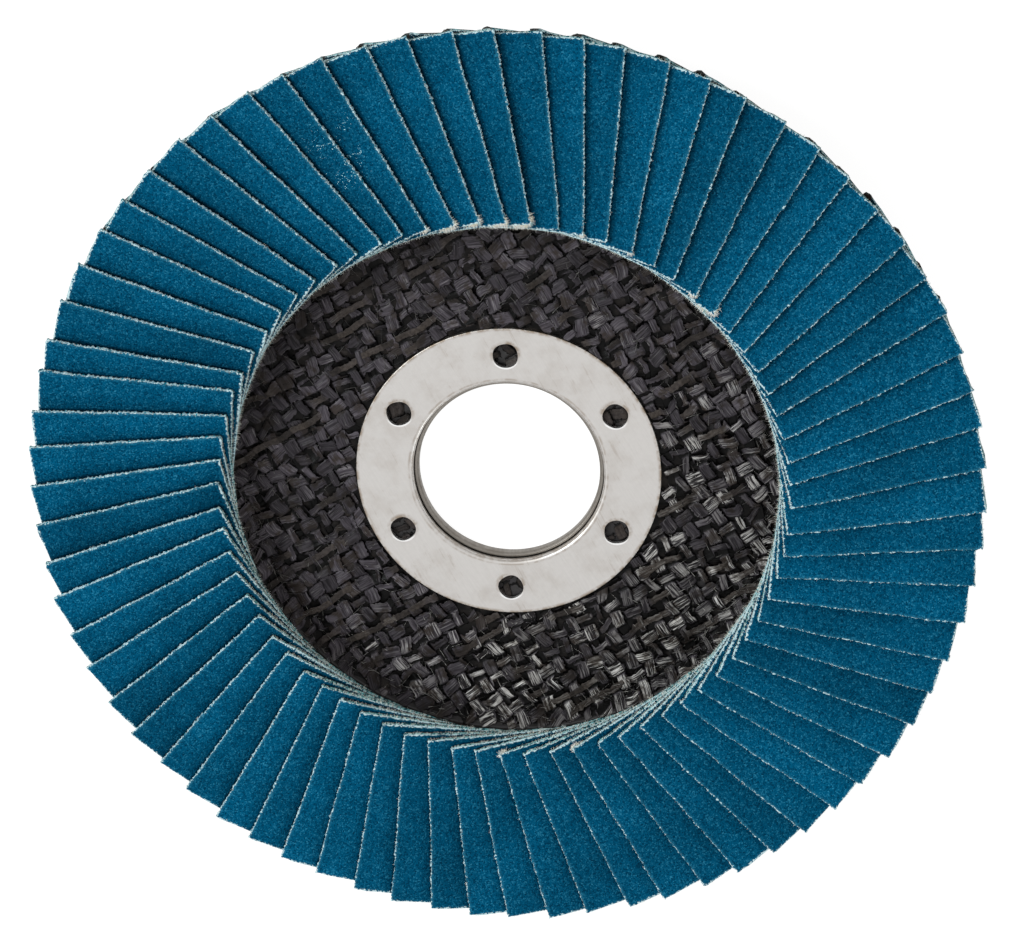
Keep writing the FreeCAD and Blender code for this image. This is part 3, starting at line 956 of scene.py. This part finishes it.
def flapHairs(number, way, rim):
    # frayed threads: along the lead edge, at the outer corner and, most of all, on the inner end
    total, tuft = way[-1], hairs["tufts"].get(number, 0)
    spots = [dice.uniform(0, cloth["length"], hairs["onLead"]),
             cloth["length"] + dice.uniform(0, 5.0, hairs["onOuter"]),
             total - dice.uniform(0, 0.68 * clothWidth, hairs["onInner"])]
    lengths = [dice.uniform(*hairs["length"], len(part)) for part in spots]
    lengths[2] *= 0.8 + 1.3 * (total - spots[2]) / clothWidth
    short = sum(len(part) for part in spots)
    if tuft:
        many = int(hairs["tuftFibres"] * tuft)
        spots.append((total + dice.normal(-0.7 * tuft, 0.65 * tuft, many)) % total)
        lengths.append(dice.uniform(*hairs["tuftLength"], many) * min(1.0, 0.6 + 0.4 * tuft))
    spots, lengths = np.concatenate(spots), np.concatenate(lengths)
    closed = np.concatenate([rim, rim[:1]])
    starts = np.stack([np.interp(spots, way, closed[:, k]) for k in range(3)], axis=1)
    directions = np.zeros((len(spots), 3))
    directions[:, :2] = outward[np.searchsorted(way, spots) - 1]
    directions += dice.normal(0, hairs["spread"], directions.shape)
    sink = dice.uniform(0.0, 0.6, len(spots)) * np.where(spots < cloth["length"], 0.5, 1.0)
    starts[:, 2] -= sink
    starts -= directions * 0.05
    points, faces = thinFibres(starts[:short], directions[:short], lengths[:short],
                               hairs["thickness"], hairs["bend"], 2)
    if tuft:
        tuftPoints, tuftFaces = thinFibres(starts[short:], directions[short:], lengths[short:],
                                           hairs["tuftThickness"], hairs["tuftBend"])
        faces = np.concatenate([faces, tuftFaces + len(points)])
        points = np.concatenate([points, tuftPoints])
    return points, faces


def makeFlaps():
    count, many = cloth["count"], cloth["perNode"]
    gritCloth, cutFibre = gritMaterial(), cottonMaterial()
    turns = cloth["phase"] + np.arange(count) * 360 / count
    turns = np.radians(turns + dice.normal(0, cloth["turnSpread"], count))
    aheadTurns = (np.roll(turns, -1) - turns) % (2 * math.pi)
    trims = np.abs(dice.normal(0, cloth["trimSpread"], (count, 2)))
    for pair in range(count // many):
        blocks, faces, extras, total = [], [], [], 0
        for number in range(pair * many, (pair + 1) * many):
            points, stored, way, rim = makeFlap(number, aheadTurns[number], trims[number],
                                                trims[(number + 1) % count, 0])
            hairPoints, hairFaces = flapHairs(number, way, rim)
            extras += [stored, {key: np.zeros((len(hairPoints), *values.shape[1:]))
                                for key, values in stored.items()}]
            along, side = math.cos(turns[number]), math.sin(turns[number])
            for block, blockFaces in ((points, flapFaces), (hairPoints, hairFaces)):
                # nothing stands out of the disc's size
                block[:, 2] = np.minimum(block[:, 2], discTop - cloth["clear"] / 2)
                inside = (discRadius - cloth["clear"]) / np.hypot(block[:, 0], block[:, 1])
                block[:, :2] *= np.minimum(1, inside)[:, None]
                block[:, :2] = block[:, :2] @ np.array([[along, side], [-side, along]])
                blocks.append(block)
                faces.append(blockFaces + total)
                total += len(block)
        extras = {key: np.concatenate([part[key] for part in extras]) for key in stored}
        shape = np.concatenate(blocks), np.concatenate(faces), extras
        piece = place("clothFlaps%02d" % (pair + 1), shape, [gritCloth, cutFibre], "abrasive_cloth",
                      "flap_pair_%02d" % (pair + 1))
        slots = np.repeat(np.arange(len(faces)) % 2, [len(part) for part in faces])
        piece.data.polygons.foreach_set("material_index", slots.astype(np.int32))
    print(count // many, "flap pairs made")


setting = {
    "floorSize": 1600, "floorDrop": 0.05, "floorColour": 0.26, "floorGlow": 0.91,
    "skyForObject": 0.57, "skyColour": (1.0, 0.985, 0.97), "lampColour": (0.94, 0.99, 1.0),
    "keyBox": {"from": (-0.91, 0.42, 1.0), "distance": 0.80, "size": 0.36, "power": 3.5},
    "lowBox": {"from": (0.60, -0.78, 0.42), "distance": 0.70, "size": 0.22, "power": 0.7},
}

photoView = {"position": (37.42, 148.87, 365.96), "lookAt": (-0.33, -0.12, 2.70),
             "topAzimuth": 88.68, "lens": 115.2}


def seenDirectly(kit):
    path = kit.add("LightPath", {}).outputs
    direct = kit.calc("ADD", path["Is Camera Ray"], path["Is Glossy Ray"], True)
    return kit.calc("ADD", direct, path["Is Transmission Ray"], True)


def makeFloor():
    corners = np.array([(-1, -1, 0), (1, -1, 0), (1, 1, 0), (-1, 1, 0)]) * setting["floorSize"] / 2
    corners[:, 2] -= setting["floorDrop"]
    mesh = buildMesh("floor", corners, np.array([[0, 1, 2, 3]]))
    floor = bpy.data.objects.new("floor", mesh)
    bpy.context.scene.collection.objects.link(floor)
    kit = NodeKit(bpy.data.materials.new("paleFloor"))
    kit.tree.nodes.clear()
    matte = kit.add("BsdfDiffuse", {"Color": (setting["floorColour"],) * 3})
    glow = kit.add("Emission", {"Strength": kit.times(seenDirectly(kit), setting["floorGlow"])})
    both = kit.add("AddShader", {0: matte.outputs[0], 1: glow.outputs[0]})
    kit.add("OutputMaterial", {"Surface": both.outputs[0]})
    mesh.materials.append(kit.owner)


def makeLight():
    kit = NodeKit(bpy.data.worlds.new("studio"))
    bpy.context.scene.world = kit.owner
    kit.tree.nodes.clear()
    direct = seenDirectly(kit)
    tint = kit.mix(direct, setting["skyColour"], (1, 1, 1))
    power = kit.fade(direct, 0.0, 1.0, setting["skyForObject"], 1.0)
    sky = kit.add("Background", {"Color": tint, "Strength": power})
    kit.add("OutputWorld", {"Surface": sky.outputs[0]})
    for name in ("keyBox", "lowBox"):
        lamp, box = bpy.data.lights.new(name, "AREA"), setting[name]
        lamp.size, lamp.energy, lamp.color = box["size"], box["power"], setting["lampColour"]
        holder = bpy.data.objects.new(name, lamp)
        bpy.context.scene.collection.objects.link(holder)
        holder.location = Vector(box["from"]).normalized() * box["distance"]
        holder.rotation_euler = (-holder.location).to_track_quat("-Z", "Y").to_euler()


def makeCamera():
    data = bpy.data.cameras.new("photoCamera")
    data.lens, data.sensor_width, data.sensor_fit = photoView["lens"], 36.0, "HORIZONTAL"
    data.clip_start, data.clip_end = 0.01, 10
    camera = bpy.data.objects.new("photoCamera", data)
    bpy.context.scene.collection.objects.link(camera)
    position, target = Vector(photoView["position"]) * mm, Vector(photoView["lookAt"]) * mm
    back = (position - target).normalized()
    azimuth = math.radians(photoView["topAzimuth"])
    right = Vector((math.cos(azimuth), math.sin(azimuth), 0)).cross(back).normalized()
    axes = Matrix((right, back.cross(right), back)).transposed().to_4x4()
    camera.matrix_world = Matrix.Translation(position) @ axes
    bpy.context.scene.camera = camera


makePlate()
makeRing()
makeEyelet()
makeBed()
makeFlaps()
makeFloor()
makeLight()
makeCamera()
bpy.context.scene.view_settings.view_transform = "Standard"
print("floor, light and camera set")
